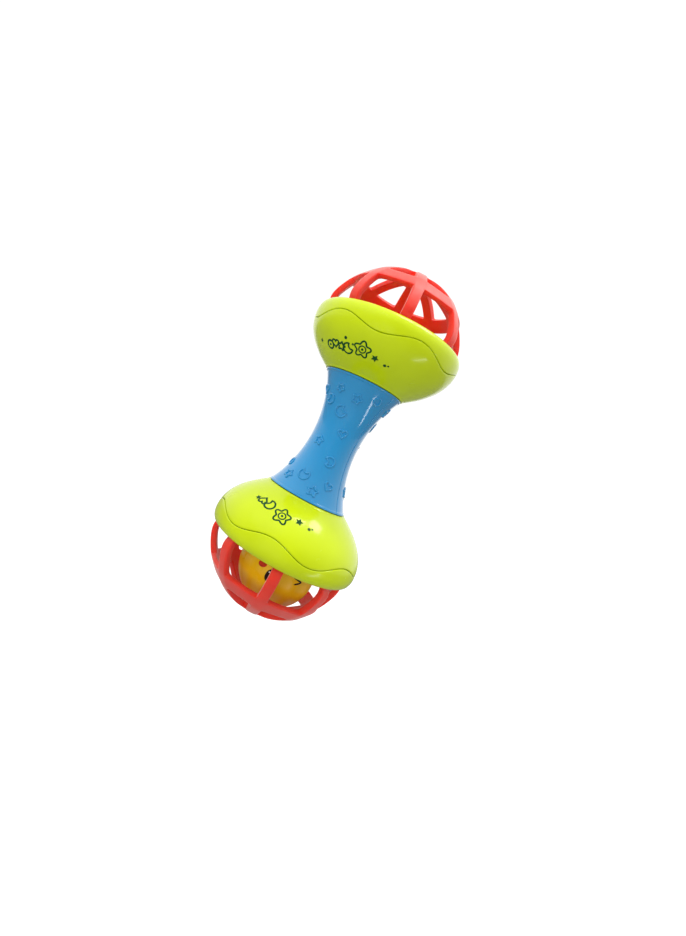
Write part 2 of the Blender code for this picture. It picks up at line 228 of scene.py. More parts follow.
def add_loft(work, sections, closed):
    """A tube through closed sections of equal length: a ring, or capped at both ends."""
    loops = [[work.verts.new(point) for point in section] for section in sections]
    count = len(loops[0])
    pairs = list(zip(loops, loops[1:]))
    if closed:
        pairs.append((loops[-1], loops[0]))
    for here, there in pairs:
        for i in range(count):
            j = (i + 1) % count
            work.faces.new((here[i], here[j], there[j], there[i]))
    if not closed:
        work.faces.new(loops[0])
        work.faces.new(loops[-1])


def add_turned(work, outline, sides, turn=Matrix()):
    """A solid turned about Z: the outline's first and last points lie on the axis."""
    low = work.verts.new(turn @ Vector((0, 0, outline[0][1])))
    high = work.verts.new(turn @ Vector((0, 0, outline[-1][1])))
    azimuths = [2 * math.pi * k / sides for k in range(sides)]
    rings = []
    for radius, height in outline[1:-1]:
        points = [turn @ Vector(around(radius, azimuth, height)) for azimuth in azimuths]
        rings.append([work.verts.new(point) for point in points])
    for k in range(sides):
        j = (k + 1) % sides
        work.faces.new((low, rings[0][k], rings[0][j]))
        work.faces.new((high, rings[-1][j], rings[-1][k]))
        for here, there in zip(rings, rings[1:]):
            work.faces.new((here[k], there[k], there[j], here[j]))


def turned(name, outline, sides, finish=None, turn=Matrix()):
    """An object made of one turned solid."""
    work = bmesh.new()
    add_turned(work, outline, sides, turn)
    return finish_mesh(work, name, finish)


def cut(obj, tool, operation="DIFFERENCE"):
    """Applies one Boolean and removes its tool."""
    step = obj.modifiers.new("cut", "BOOLEAN")
    step.operation = operation
    step.solver = "EXACT"
    step.object = tool
    bpy.context.view_layer.update()
    evaluated = obj.evaluated_get(bpy.context.evaluated_depsgraph_get())
    result = bpy.data.meshes.new_from_object(evaluated)
    obj.modifiers.clear()
    obj.data = result
    bpy.data.objects.remove(tool, do_unlink=True)


def place(obj, body, nodes=()):
    """Puts a piece on its body and in place of the CAD nodes that it draws."""
    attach(obj, body)
    if nodes:
        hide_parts(*nodes)
    return obj


# ---------------------------------------------------------------- materials

# Most values of a noise texture lie between these
NOISE_LOW = 0.3
NOISE_HIGH = 0.7


class Nodes:
    """A material's node tree, with short calls for the nodes that the finishes share."""

    def __init__(self, name):
        self.material = bpy.data.materials.new(name)
        self.material.use_nodes = True
        self.tree = self.material.node_tree
        self.shader = self.tree.nodes["Principled BSDF"]
        self.place = self.tree.nodes.new("ShaderNodeTexCoord").outputs["Object"]

    def link(self, output, node, socket):
        self.tree.links.new(output, node.inputs[socket])

    def noise(self, scale, detail=3.0, roughness=0.5, stretch=None):
        node = self.tree.nodes.new("ShaderNodeTexNoise")
        node.inputs["Scale"].default_value = scale
        node.inputs["Detail"].default_value = detail
        node.inputs["Roughness"].default_value = roughness
        source = self.place
        if stretch is not None:
            mapping = self.tree.nodes.new("ShaderNodeMapping")
            mapping.inputs["Scale"].default_value = stretch
            self.link(source, mapping, "Vector")
            source = mapping.outputs["Vector"]
        self.link(source, node, "Vector")
        return node.outputs["Fac"]

    def roughen(self, value, low, high):
        """Roughness from low to high over the usual range of a noise."""
        node = self.tree.nodes.new("ShaderNodeMapRange")
        node.inputs["From Min"].default_value = NOISE_LOW
        node.inputs["From Max"].default_value = NOISE_HIGH
        node.inputs["To Min"].default_value = low
        node.inputs["To Max"].default_value = high
        self.link(value, node, "Value")
        self.link(node.outputs["Result"], self.shader, "Roughness")

    def colour(self, value, dark, light):
        """Base colour from dark to light over the usual range of a noise."""
        ramp = self.tree.nodes.new("ShaderNodeValToRGB")
        ramp.color_ramp.elements[0].position = NOISE_LOW
        ramp.color_ramp.elements[0].color = (*dark, 1)
        ramp.color_ramp.elements[1].position = NOISE_HIGH
        ramp.color_ramp.elements[1].color = (*light, 1)
        self.link(value, ramp, "Fac")
        self.link(ramp.outputs["Color"], self.shader, "Base Color")

    def bump(self, height, strength, distance):
        node = self.tree.nodes.new("ShaderNodeBump")
        node.inputs["Strength"].default_value = strength
        node.inputs["Distance"].default_value = distance
        self.link(height, node, "Height")
        self.link(node.outputs["Normal"], self.shader, "Normal")

    def set(self, **values):
        """Sets plain shader inputs, named in lower case with underscores."""
        for key, value in values.items():
            socket = key.replace("_", " ").title().replace("Ior", "IOR")
            self.shader.inputs[socket].default_value = value


def shade(colour, factor):
    return tuple(channel * factor for channel in colour)


def gloss_plastic(name, colour, roughness, coat, shine=0.5):
    """Moulded gloss plastic: faint flow marks, handling haze and a fine orange peel."""
    nodes = Nodes(name)
    flow = nodes.noise(38, detail=2)
    nodes.colour(flow, shade(colour, 0.93), shade(colour, 1.05))
    haze = nodes.noise(120, detail=5, roughness=0.6)
    nodes.roughen(haze, roughness * 0.75, roughness * 1.4)
    nodes.bump(nodes.noise(420, detail=2), 0.10, 0.1 * MM)
    nodes.set(coat_weight=coat, coat_roughness=0.06, specular_ior_level=shine)
    return nodes.material


def soft_rubber(name, colour):
    """Matt thermoplastic rubber with a silky bloom and a fine moulded grain."""
    nodes = Nodes(name)
    cloud = nodes.noise(60, detail=4)
    nodes.colour(cloud, shade(colour, 0.9), shade(colour, 1.06))
    nodes.roughen(nodes.noise(260, detail=4), 0.36, 0.5)
    nodes.bump(nodes.noise(1500, detail=2), 0.12, 0.08 * MM)
    nodes.set(sheen_weight=0.5, sheen_roughness=0.4)
    nodes.set(subsurface_weight=0.85, subsurface_scale=7 * MM)
    nodes.shader.inputs["Subsurface Radius"].default_value = (1.0, 0.12, 0.06)
    nodes.shader.inputs["Sheen Tint"].default_value = (1.0, 0.85, 0.82, 1)
    return nodes.material


def printed_ink(name, colour):
    """Pad-printed ink, a little thin in places."""
    nodes = Nodes(name)
    cover = nodes.noise(900, detail=3)
    nodes.colour(cover, shade(colour, 0.8), shade(colour, 1.3))
    nodes.roughen(nodes.noise(500), 0.45, 0.6)
    nodes.set(specular_ior_level=0.25)
    return nodes.material


def turned_steel(name):
    """Zinc-plated steel with fine turning marks."""
    nodes = Nodes(name)
    marks = nodes.noise(900, detail=4, stretch=(1, 1, 6))
    nodes.colour(marks, (0.42, 0.43, 0.45), (0.62, 0.62, 0.63))
    nodes.roughen(marks, 0.22, 0.42)
    nodes.bump(marks, 0.15, 0.05 * MM)
    nodes.set(metallic=1.0)
    return nodes.material


BLUE = gloss_plastic("blue_gloss", (0.018, 0.29, 0.62), 0.12, 0.6)
LIME = gloss_plastic("lime_gloss", (0.60, 0.75, 0.002), 0.20, 0.2, shine=0.3)
RED = soft_rubber("red_soft", (0.84, 0.04, 0.018))
YELLOW = gloss_plastic("ball_gloss", (0.98, 0.60, 0.006), 0.3, 0.1, shine=0.4)
PELLET = gloss_plastic("pellet_gloss", (0.80, 0.80, 0.77), 0.3, 0.1)
STEEL = turned_steel("zinc_steel")
GREEN_INK = printed_ink("green_ink", (0.004, 0.07, 0.012))
BLACK_INK = printed_ink("black_ink", (0.012, 0.006, 0.005))
WHITE_INK = printed_ink("white_ink", (0.72, 0.72, 0.70))
RED_INK = printed_ink("red_ink", (0.52, 0.03, 0.008))


# ---------------------------------------------------------------- profiles


def handle_radius(height):
    return WAIST_RADIUS + WAIST_ARC - math.sqrt(WAIST_ARC**2 - height**2)


BULB_OUTLINE = bezier(BOWL_CURVE, 80) + bezier(RIM_CURVE, 24)[1:]


def bulb_radius(height):
    """Outer radius of the bowl or collar at a height above the grip's centre."""
    for (r0, z0), (r1, z1) in zip(BULB_OUTLINE, BULB_OUTLINE[1:]):
        if z0 <= height <= z1:
            return r0 + (r1 - r0) * (height - z0) / (z1 - z0)
    return BULB_OUTLINE[0][0] if height < BOWL_START[1] else RIM[0]


def seam_height(azimuth):
    return SEAM_HEIGHT + SEAM_WAVE * math.cos(SEAM_WAVES * (azimuth - SEAM_CREST))


# ---------------------------------------------------------------- bowls and collars

RING_COLUMNS = 288


def ring(name, section, end, finish):
    """A closed ring: section(azimuth) gives its closed outline of (radius, height) points."""
    work = bmesh.new()
    sections = []
    for k in range(RING_COLUMNS):
        azimuth = 2 * math.pi * k / RING_COLUMNS
        sections.append([around(r, azimuth, end * z) for r, z in section(azimuth)])
    add_loft(work, sections, closed=True)
    return finish_mesh(work, name, finish)


def cup_section(azimuth):
    """Floor, belly and a rounded top edge at the seam, then the tongue inside the collar."""
    seam = seam_height(azimuth) - SEAM_GAP / 2
    foot = BOWL_START[1]
    outline = [(NECK_RADIUS + CLEARANCE, foot)]
    toe = (bulb_radius(foot + TOE_ROUND) - TOE_INSET, foot + TOE_ROUND)
    outline += arc(toe, TOE_ROUND, -90, -20, 5)
    shoulder = seam - SEAM_ROUND
    low = foot + TOE_TOP
    heights = [low + (shoulder - low) * i / OUTSIDE_ROWS for i in range(OUTSIDE_ROWS + 1)]
    outline += [(bulb_radius(z), z) for z in heights]
    edge = bulb_radius(shoulder)
    outline += arc((edge - SEAM_ROUND, shoulder), SEAM_ROUND, 15, 90, 6)
    outline += [(TONGUE_OUTER, seam), (TONGUE_OUTER, TONGUE_TOP), (TONGUE_INNER, TONGUE_TOP)]
    inside_low = foot + BOWL_FLOOR
    for i in range(INSIDE_ROWS + 1):
        z = INSIDE_TOP + (inside_low - INSIDE_TOP) * i / INSIDE_ROWS
        outline.append((min(bulb_radius(z - INSIDE_SHIFT) - BOWL_WALL, TONGUE_INNER), z))
    outline.append((NECK_RADIUS + CLEARANCE, inside_low))
    return outline


def collar_section(azimuth):
    """The band above the seam, its rounded rim bead and the lip that holds the cage."""
    seam = seam_height(azimuth) + SEAM_GAP / 2
    shoulder = seam + SEAM_ROUND
    edge = bulb_radius(shoulder)
    outline = arc((edge - SEAM_ROUND, shoulder), SEAM_ROUND, -90, -8, 6)
    heights = [shoulder + (BAND_TOP - shoulder) * i / 10 for i in range(1, 10)]
    outline += [(bulb_radius(z), z) for z in heights]
    outline += [(r, z) for r, z in bezier(RIM_CURVE, 24) if z > BAND_TOP]
    outline += bezier(LIP_CURVE, 8)[1:]
    outline += [(LIP_INNER, LIP_LOW), (COLLAR_INNER, LIP_LOW), (COLLAR_INNER, seam)]
    return outline


# ---------------------------------------------------------------- cages


CAGE_STEPS = 8  # columns for each rib and the window beside it
RIB_STEPS = 4  # of them, the ones that lie on the rib
CORNER_SINK = 0.6  # how far a window's corner lies towards its middle
WALL_LAYERS = (0, 0.22, 0.78, 1)


def cage_rows():
    """(outer point, inner point, open) for each row, from the flange to the hub."""
    rows = list(CAGE_FOOT)
    low, high = RING_ELEVATION - RING_HALF, RING_ELEVATION + RING_HALF
    steps = [(elevation, True) for elevation in (*RIB_ELEVATIONS, low - RING_EDGE)]
    steps += [(low, False), (low + RING_EDGE, False), (high - RING_EDGE, False)]
    crown = (high, high + RING_EDGE, CROWN_ELEVATION, HUB_EDGE)
    steps += [(elevation, True) for elevation in crown]
    steps += [(elevation, False) for elevation in HUB_ELEVATIONS]
    for elevation, opened in steps:
        up, out = math.sin(math.radians(elevation)), math.cos(math.radians(elevation))
        outer = (CAGE_OUTER * out, CAGE_CENTRE + CAGE_OUTER * up)
        inner = (CAGE_INNER * out, CAGE_CENTRE + CAGE_INNER * up)
        rows.append((outer, inner, opened))
    return rows


def cage_columns(radius, first):
    """Azimuths of one row, with how far each lies towards the middle of its window, from 0 to 1."""
    pitch = 2 * math.pi / CAGE_RIBS
    edge = min(math.asin(min(1, RIB_HALF / radius)), WIDEST_RIB * pitch)
    shoulder = edge * RIB_SHOULDER / RIB_HALF
    corner = min(CORNER_STEP / radius, (pitch / 2 - edge) * WIDEST_CORNER)
    columns = []
    for k in range(CAGE_RIBS):
        middle = first + k * pitch
        columns += [(middle + turn, 0) for turn in (-edge, -shoulder, 0, shoulder, edge)]
        columns += [(middle + edge + corner, CORNER_SINK), (middle + pitch / 2, 1)]
        columns += [(middle + pitch - edge - corner, CORNER_SINK)]
    return columns


def cage(name, end, finish):
    """The boundary of the solid cells of a grid of rows, columns and layers, then subdivided."""
    rows = cage_rows()
    across = CAGE_STEPS * CAGE_RIBS
    last = len(rows) - 1
    work = bmesh.new()
    grid = {}
    sunken = range(len(CAGE_FOOT), last - len(HUB_ELEVATIONS) + 1)
    for row, (outer, inner, _) in enumerate(rows):
        for layer, share in enumerate(WALL_LAYERS):
            radius = outer[0] + (inner[0] - outer[0]) * share
            height = outer[1] + (inner[1] - outer[1]) * share
            for column, (azimuth, middle) in enumerate(cage_columns(radius, FIRST_RIB[end])):
                sink = WINDOW_SINK * middle * (1 - 2 * share) if row in sunken else 0
                scale = 1 - sink / CAGE_OUTER
                rise = CAGE_CENTRE + (height - CAGE_CENTRE) * scale
                grid[row, column, layer] = around(radius * scale, azimuth, end * rise)
    corners = {}

    def vertex(key):
        if key not in corners:
            corners[key] = work.verts.new(grid[key])
        return corners[key]

    def solid(row, column):
        return not rows[row][2] or column % CAGE_STEPS < RIB_STEPS

    layers = len(WALL_LAYERS)
    for column in range(across):
        after = (column + 1) % across
        for row in range(last):
            if not solid(row, column):
                continue
            for layer in (0, layers - 1):
                keys = ((row, column), (row, after), (row + 1, after), (row + 1, column))
                work.faces.new([vertex((*key, layer)) for key in keys])
            sides = []
            if row == 0 or not solid(row - 1, column):
                sides.append(((row, column), (row, after)))
            if row + 1 < last and not solid(row + 1, column):
                sides.append(((row + 1, column), (row + 1, after)))
            if not solid(row, (column - 1) % across):
                sides.append(((row, column), (row + 1, column)))
            if not solid(row, after):
                sides.append(((row, after), (row + 1, after)))
            for a, b in sides:
                for layer in range(layers - 1):
                    keys = ((*a, layer), (*b, layer), (*b, layer + 1), (*a, layer + 1))
                    work.faces.new([vertex(key) for key in keys])
    for layer, radius in ((0, CAGE_OUTER), (layers - 1, CAGE_INNER)):
        tip = work.verts.new((0, 0, end * (CAGE_CENTRE + radius)))
        for column in range(across):
            after = (column + 1) % across
            work.faces.new((vertex((last, column, layer)), vertex((last, after, layer)), tip))
    obj = finish_mesh(work, name, finish, smooth_angle=180)
    rounding = obj.modifiers.new("smooth", "SUBSURF")
    rounding.levels = rounding.render_levels = 2
    return obj


# ---------------------------------------------------------------- handle

# Handle frame: X lies in the parting plane and Y points from it into the rear half.
PARTING_TURN = Matrix.Rotation(PARTING_AZIMUTH - math.pi / 2, 4, "Z")
SCREW_TURN = Matrix.Rotation(-math.pi / 2, 4, "X")
EDGE_STEPS = 5
HANDLE_COLUMNS = 96


def screw_place(end):
    """Puts a Z-turned piece on a screw's line: its Z becomes the handle frame's Y."""
    return PARTING_TURN @ Matrix.Translation((0, 0, end * SCREW_HEIGHT)) @ SCREW_TURN


def grip_radius(height):
    """The hourglass, with a small bead beside each bowl."""
    reach = (abs(height) - (HANDLE_END - LIP_HEIGHT / 2)) / (LIP_HEIGHT / 2)
    bead = math.sqrt(1 - reach * reach) if abs(reach) < 1 else 0
    return handle_radius(height) + LIP_RISE * bead


def grip_heights():
    """Even rows over the hourglass and close ones over the beads."""
    start = HANDLE_END - LIP_HEIGHT
    rows = [start * i / GRIP_ROWS for i in range(GRIP_ROWS + 1)]
    rows += [HANDLE_END - LIP_HEIGHT / 2 * (1 + math.cos(math.pi * i / 10)) for i in range(1, 11)]
    return [-z for z in reversed(rows[1:])] + rows


def handle_half(name, side, finish):
    """One hollow half. Each section is a closed outline in a plane through the axis."""
    outer = [(grip_radius(z), z, True) for z in grip_heights()]
    cap = [(NECK_RADIUS, HANDLE_END), (NECK_RADIUS, FLANGE_LOW), (FLANGE_RADIUS, FLANGE_LOW)]
    cap += [(FLANGE_RADIUS, FLANGE_TOP), (0, FLANGE_TOP)]
    wall = NECK_RADIUS - HANDLE_WALL
    back = [(0, FLANGE_LOW), (wall, FLANGE_LOW), (wall, HANDLE_END - HANDLE_WALL)]
    last = HANDLE_END - HANDLE_WALL - HOLLOW_INSET
    heights = [last * i / 10 for i in range(10, -1, -1)]
    hollow = [(handle_radius(z) - HANDLE_WALL, z) for z in heights]
    upper_inside = back + hollow
    outline = outer + [(r, z, False) for r, z in cap + upper_inside]
    outline += [(r, -z, False) for r, z in reversed(upper_inside[:-1])]
    outline += [(r, -z, False) for r, z in reversed(cap)]
    sections = []
    steps = [("edge", i) for i in range(EDGE_STEPS)]
    steps += [("even", i / HANDLE_COLUMNS) for i in range(HANDLE_COLUMNS + 1)]
    steps += [("back_edge", i) for i in reversed(range(EDGE_STEPS))]
    for kind, step in steps:
        section = []
        for radius, height, outside in outline:
            start = math.asin(min(1, PARTING_GAP / max(radius, PARTING_GAP)))
            run, drop = PARTING_ROUND, 0
            if kind != "even":
                turn = math.pi / 2 * step / EDGE_STEPS
                run *= 1 - math.cos(turn)
                drop = PARTING_ROUND * (1 - math.sin(turn)) if outside else 0
            inset = start + run / max(radius, PARTING_ROUND)
            angle = inset if kind == "edge" else math.pi - inset
            if kind == "even":
                angle = inset + (math.pi - 2 * inset) * step
            reach = radius - drop
            if radius == 0:
                section.append(PARTING_TURN @ Vector((0, side * PARTING_GAP, height)))
            else:
                x, y = reach * math.cos(angle), reach * math.sin(angle)
                section.append(PARTING_TURN @ Vector((x, side * y, height)))
        sections.append(section)
    work = bmesh.new()
    add_loft(work, sections, closed=False)
    return finish_mesh(work, name, finish)


def rear_half(name, finish):
    """The rear half, with two bosses and the recesses where the screw heads sit."""
    shell = handle_half(name, 1, finish)
    wall = handle_radius(SCREW_HEIGHT) - HANDLE_WALL / 2
    recess = SCREW_HEAD_RADIUS + CLEARANCE
    hole = SCREW_RADIUS + CLEARANCE
    outside = handle_radius(HANDLE_END)
    mouth = handle_radius(SCREW_HEIGHT) - MOUTH_DEPTH
    for _, end in ENDS:
        boss = [(0, BOSS_START), (BOSS_RADIUS, BOSS_START), (BOSS_RADIUS, wall), (0, wall)]
        cut(shell, turned("boss", boss, BORE_SIDES, turn=screw_place(end)), "UNION")
    for _, end in ENDS:
        stepped = [(0, 0), (hole, 0), (hole, SCREW_SEAT), (recess, SCREW_SEAT), (recess, mouth)]
        stepped += [(recess + MOUTH_CHAMFER, mouth + MOUTH_CHAMFER)]
        stepped += [(recess + MOUTH_CHAMFER, outside), (0, outside)]
        cut(shell, turned("recess", stepped, BORE_SIDES, turn=screw_place(end)))
    smooth(shell.data, SHARP_ANGLE)
    return shell


def screw(name, end, finish):
    """A pan-head screw with a thread and a cross recess."""
    head = SCREW_SEAT + CLEARANCE
    top = head + SCREW_HEAD_HEIGHT
    root = SCREW_RADIUS - THREAD_DEPTH
    outline = [(0, SCREW_TIP), (TIP_RADIUS, SCREW_TIP + TIP_CHAMFER)]
    z = THREAD_START
    while z + THREAD_PITCH < head - THREAD_RUNOUT:
        outline += [(root, z), (SCREW_RADIUS, z + THREAD_PITCH * 0.45)]
        outline.append((root, z + THREAD_PITCH * 0.9))
        z += THREAD_PITCH
    outline += [(root, head), (SCREW_HEAD_RADIUS - SCREW_HEAD_CHAMFER, head)]
    outline += [(SCREW_HEAD_RADIUS, head + SCREW_HEAD_CHAMFER)]
    bend = (SCREW_HEAD_RADIUS - SCREW_HEAD_BEND, top - SCREW_HEAD_BEND)
    outline += arc(bend, SCREW_HEAD_BEND, 0, 75, 8)
    outline += [(SCREW_HEAD_RADIUS * SCREW_HEAD_FLAT, top), (0, top)]
    turn = screw_place(end)
    obj = turned(name, outline, SCREW_SIDES, finish, turn)
    for k in (0, 1):
        blade = bmesh.new()
        across = turn @ Matrix.Rotation(k * math.pi / 2, 4, "Z") @ Matrix.Translation((0, 0, top))
        long = Matrix.Diagonal((BLADE_STRETCH, 1, 1, 1)) @ Matrix.Rotation(math.pi / 4, 4, "Z")
        bmesh.ops.create_cone(
            blade, cap_ends=True, segments=4, radius1=BLADE_FOOT, radius2=BLADE_TOP,
            depth=BLADE_DEPTH, matrix=across @ long,
        )
        cut(obj, finish_mesh(blade, "blade", None))
    smooth(obj.data, SCREW_SHARP_ANGLE)
    return obj


# ---------------------------------------------------------------- raised and printed shapes


class Turned:
    """A turned surface as a sheet to draw on, by azimuth and distance along its outline."""

    def __init__(self, outline, end=1):
        self.outline = outline
        self.end = end
        self.runs = [0.0]
        for (r0, z0), (r1, z1) in zip(outline, outline[1:]):
            self.runs.append(self.runs[-1] + math.hypot(r1 - r0, z1 - z0))

    def run_at(self, height):
        """Distance along the outline to a height."""
        for i, ((_, z0), (_, z1)) in enumerate(zip(self.outline, self.outline[1:])):
            if z0 <= height <= z1:
                share = (height - z0) / (z1 - z0)
                return self.runs[i] + share * (self.runs[i + 1] - self.runs[i])
        raise ValueError(f"no outline at height {height}")

    def at(self, azimuth, run, lift):
        for i, (here, there) in enumerate(zip(self.runs, self.runs[1:])):
            if run <= there or i == len(self.runs) - 2:
                share = (run - here) / (there - here)
                (r0, z0), (r1, z1) = self.outline[i], self.outline[i + 1]
                length = math.hypot(r1 - r0, z1 - z0)
                out, up = (z1 - z0) / length, -(r1 - r0) / length
                radius = r0 + (r1 - r0) * share + out * lift
                height = z0 + (z1 - z0) * share + up * lift
                return around(radius, azimuth, self.end * height)

    def spot(self, azimuth, height):
        """A function that puts a flat shape's points (across, up) round a spot on the surface."""
        run = self.run_at(self.end * height)
        middle = Vector(self.at(azimuth, run, 0))
        radius = math.hypot(middle.x, middle.y)
        return lambda x, y, lift: self.at(azimuth + x / radius, run + self.end * y, lift)


class Globe:
    """The ball's surface as a sheet to draw on."""

    def __init__(self, centre, radius):
        self.centre = centre
        self.radius = radius

    def spot(self, azimuth, elevation):
        turn = Matrix.Rotation(azimuth, 3, "Z") @ Matrix.Rotation(-elevation, 3, "X")

        def put(x, y, lift):
            flat = Vector((x, -self.radius, y)).normalized()
            return self.centre + turn @ flat * (self.radius + lift)

        return put


def softened(path):
    """A closed path with its corners cut."""
    soft = []
    for (x0, y0), (x1, y1) in zip(path, path[1:] + path[:1]):
        soft.append((0.8 * x0 + 0.2 * x1, 0.8 * y0 + 0.2 * y1))
        soft.append((0.2 * x0 + 0.8 * x1, 0.2 * y0 + 0.8 * y1))
    return soft


def polar(reach, count):
    """A closed path whose radius is reach(angle)."""
    angles = [2 * math.pi * i / count for i in range(count)]
    return [(reach(a) * math.sin(a), reach(a) * math.cos(a)) for a in angles]


# A star's inner corners, a flower's notches and a moon's opening
STAR_WAIST = 0.52
PETAL_DEPTH = 0.18
MOON_TIP = 40
MOON_SHIFT = 0.12


def star(size, turn=0.0):
    """Five points with their corners cut."""
    points = []
    for i in range(10):
        angle = turn + math.pi * i / 5
        reach = size / 2 * (1 if i % 2 == 0 else STAR_WAIST)
        points.append((reach * math.sin(angle), reach * math.cos(angle)))
    dense = []
    for (x0, y0), (x1, y1) in zip(points, points[1:] + points[:1]):
        dense += [(x0 + (x1 - x0) * i / 4, y0 + (y1 - y0) * i / 4) for i in range(4)]
    return softened(dense)


def heart(size, turn=0.0):
    """The heart curve of four cosines, 34 units across and centred."""
    c, s = math.cos(turn), math.sin(turn)
    points = []
    for i in range(40):
        a = 2 * math.pi * i / 40
        x = 16 * math.sin(a) ** 3
        y = 13 * math.cos(a) - 5 * math.cos(2 * a) - 2 * math.cos(3 * a) - math.cos(4 * a) + 2.5
        x, y = x * size / 34, y * size / 34
        points.append((x * c + y * s, y * c - x * s))
    return points


def flower(size):
    """A wavy circle of five petals."""
    return polar(lambda a: size / 2 * (1 - PETAL_DEPTH * (1 - math.cos(5 * a))), 60)


def disc(size):
    return polar(lambda a: size / 2, 28)


def moon(size, turn=0.0):
    """A crescent: most of a circle, closed by a shallower arc."""
    outside = [math.radians(MOON_TIP + (360 - 2 * MOON_TIP) * i / 30) for i in range(31)]
    points = [(size / 2 * math.cos(a), size / 2 * math.sin(a)) for a in outside]
    tip_x, tip_y = points[0]
    centre_x = tip_x + MOON_SHIFT * size
    reach = math.hypot(centre_x - tip_x, tip_y)
    lean = math.atan2(tip_y, tip_x - centre_x)
    inside = [-lean - (2 * math.pi - 2 * lean) * i / 18 for i in range(1, 18)]
    points += [(centre_x + reach * math.cos(a), reach * math.sin(a)) for a in inside]
    c, s = math.cos(turn), math.sin(turn)
    return [(x * c - y * s, x * s + y * c) for x, y in points]


def shifted(path, x, y):
    return [(px + x, py + y) for px, py in path]


def edge_normals(path, closed):
    """A unit normal at each point of a path."""
    normals = []
    count = len(path)
    for i in range(count):
        a = path[(i - 1) % count] if closed or i > 0 else path[i]
        b = path[(i + 1) % count] if closed or i < count - 1 else path[i]
        dx, dy = b[0] - a[0], b[1] - a[1]
        length = math.hypot(dx, dy) or 1
        normals.append((dy / length, -dx / length))
    return normals


SUNK = 0.15 * MM  # how far a drawn shape reaches into the surface below it


def add_stroke(work, spot, path, width, height, closed=True, taper=False):
    """A line of even width along a path, with a rounded top of the given height."""
    across = [math.cos(math.pi * i / 8) for i in range(9)]
    sections = []
    for i, ((x, y), (nx, ny)) in enumerate(zip(path, edge_normals(path, closed))):
        share = math.sin(math.pi * (i + 0.6) / (len(path) + 0.2)) ** 0.4 if taper else 1
        half = width / 2 * share
        top = [(t * half, height * math.sqrt(1 - t * t) * share) for t in across]
        loop = [spot(x + nx * t, y + ny * t, lift) for t, lift in top]
        loop += [spot(x + nx * t * half, y + ny * t * half, -SUNK) for t in (-1, -0.4, 0.4, 1)]
        sections.append(loop)
    add_loft(work, sections, closed)


def add_patch(work, spot, path, height, centre=(0, 0)):
    """A filled shape that follows the surface, in rings that shrink towards its centre."""
    cx, cy = centre
    rings = [[(x, y, -SUNK) for x, y in path]]
    for share in (1, 0.85, 0.6, 0.3):
        rings.append([(cx + (x - cx) * share, cy + (y - cy) * share, height) for x, y in path])
    loops = [[work.verts.new(spot(*point)) for point in points] for points in rings]
    count = len(path)
    top = work.verts.new(spot(cx, cy, height))
    base = work.verts.new(spot(cx, cy, -SUNK))
    for here, there in zip(loops, loops[1:]):
        for i in range(count):
            j = (i + 1) % count
            work.faces.new((here[i], here[j], there[j], there[i]))
    for i in range(count):
        j = (i + 1) % count
        work.faces.new((loops[-1][i], loops[-1][j], top))
        work.faces.new((loops[0][j], loops[0][i], base))


def drawing(name, finish, body, slot, draw, *details):
    """One piece made of the closed shapes that draw(work, *details) adds."""
    work = bmesh.new()
    draw(work, *details)
    return place(finish_mesh(work, name, finish, DRAWN_SHARP_ANGLE), body)


INK = 0.045 * MM
RIDGE = 0.5 * MM
RIDGE_WIDTH = 0.9 * MM

# Raised shapes: (shape, azimuth in degrees, height in mm, size in mm, turn in degrees)
GRIP_SHAPES = (
    ("star", 1.2, 19.8, 5.0, 12), ("moon", -16.3, 12.4, 5.0, 40), ("moon", -49.5, 15.6, 4.2, 160),
    ("star", -32.5, 21.4, 4.0, 30), ("heart", -70.5, 19.1, 4.4, 0), ("disc", 33.0, 22.6, 3.4, 0),
    ("star", 4.0, -23.6, 5.0, 0), ("heart", 26.0, -19.4, 4.2, 20), ("moon", -22.0, -19.0, 4.8, 80),
    ("star", -48.0, -22.0, 4.6, 20), ("disc", -73.0, -17.0, 3.4, 0), ("heart", 8.0, 3.5, 4.2, -15),
    ("star", -35.0, -3.0, 4.4, 5), ("moon", 10.0, -9.5, 4.4, 200), ("star", 78.0, 21.0, 4.8, 0),
    ("moon", 98.0, 13.0, 4.8, 30), ("heart", 118.0, 20.5, 4.4, 0), ("star", 168.0, 20.5, 4.8, 15),
    ("disc", 190.0, 14.0, 3.4, 0), ("moon", 210.0, 20.5, 4.8, 120), ("star", 82.0, -19.0, 4.6, 10),
    ("heart", 106.0, -22.0, 4.4, 10), ("moon", 172.0, -20.5, 4.8, 70),
    ("star", 205.0, -19.5, 4.8, 25), ("star", 110.0, 1.5, 4.4, 0),
    ("heart", 165.0, 2.5, 4.2, 10), ("disc", 198.0, -6.0, 3.2, 0),
)
SHAPE_PATHS = {
    "star": star,
    "moon": moon,
    "heart": heart,
    "disc": lambda size, turn: disc(size),
    "flower": lambda size, turn: flower(size),
}
FILLED = 0.0
# Printed shapes: (shape, azimuth in degrees, height in mm, size in mm, turn in radians, line in mm)
UPPER_PRINT = (
    ("disc", -47.0, 35.3, 3.6, 0, 0.9), ("disc", -47.0, 35.3, 1.0, 0, FILLED),
    ("heart", -40.3, 35.9, 4.0, 0, 0.8), ("disc", -29.5, 38.8, 1.4, 0, FILLED),
    ("star", -33.6, 35.6, 4.2, 0.2, 0.8), ("moon", -26.6, 35.6, 4.6, 0.7, 0.8),
    ("disc", -22.4, 37.4, 1.0, 0, FILLED), ("star", -60.4, 36.2, 2.2, 0.4, FILLED),
    ("star", -1.5, 35.9, 3.4, 0.3, FILLED), ("disc", 8.5, 35.2, 1.3, 0, FILLED),
    ("disc", 11.4, 35.5, 0.8, 0, FILLED), ("flower", -13.6, 36.9, 7.4, 0, 0.75),
    ("disc", -13.6, 36.9, 3.0, 0, 0.6), ("disc", -13.6, 36.9, 1.1, 0, FILLED),
)
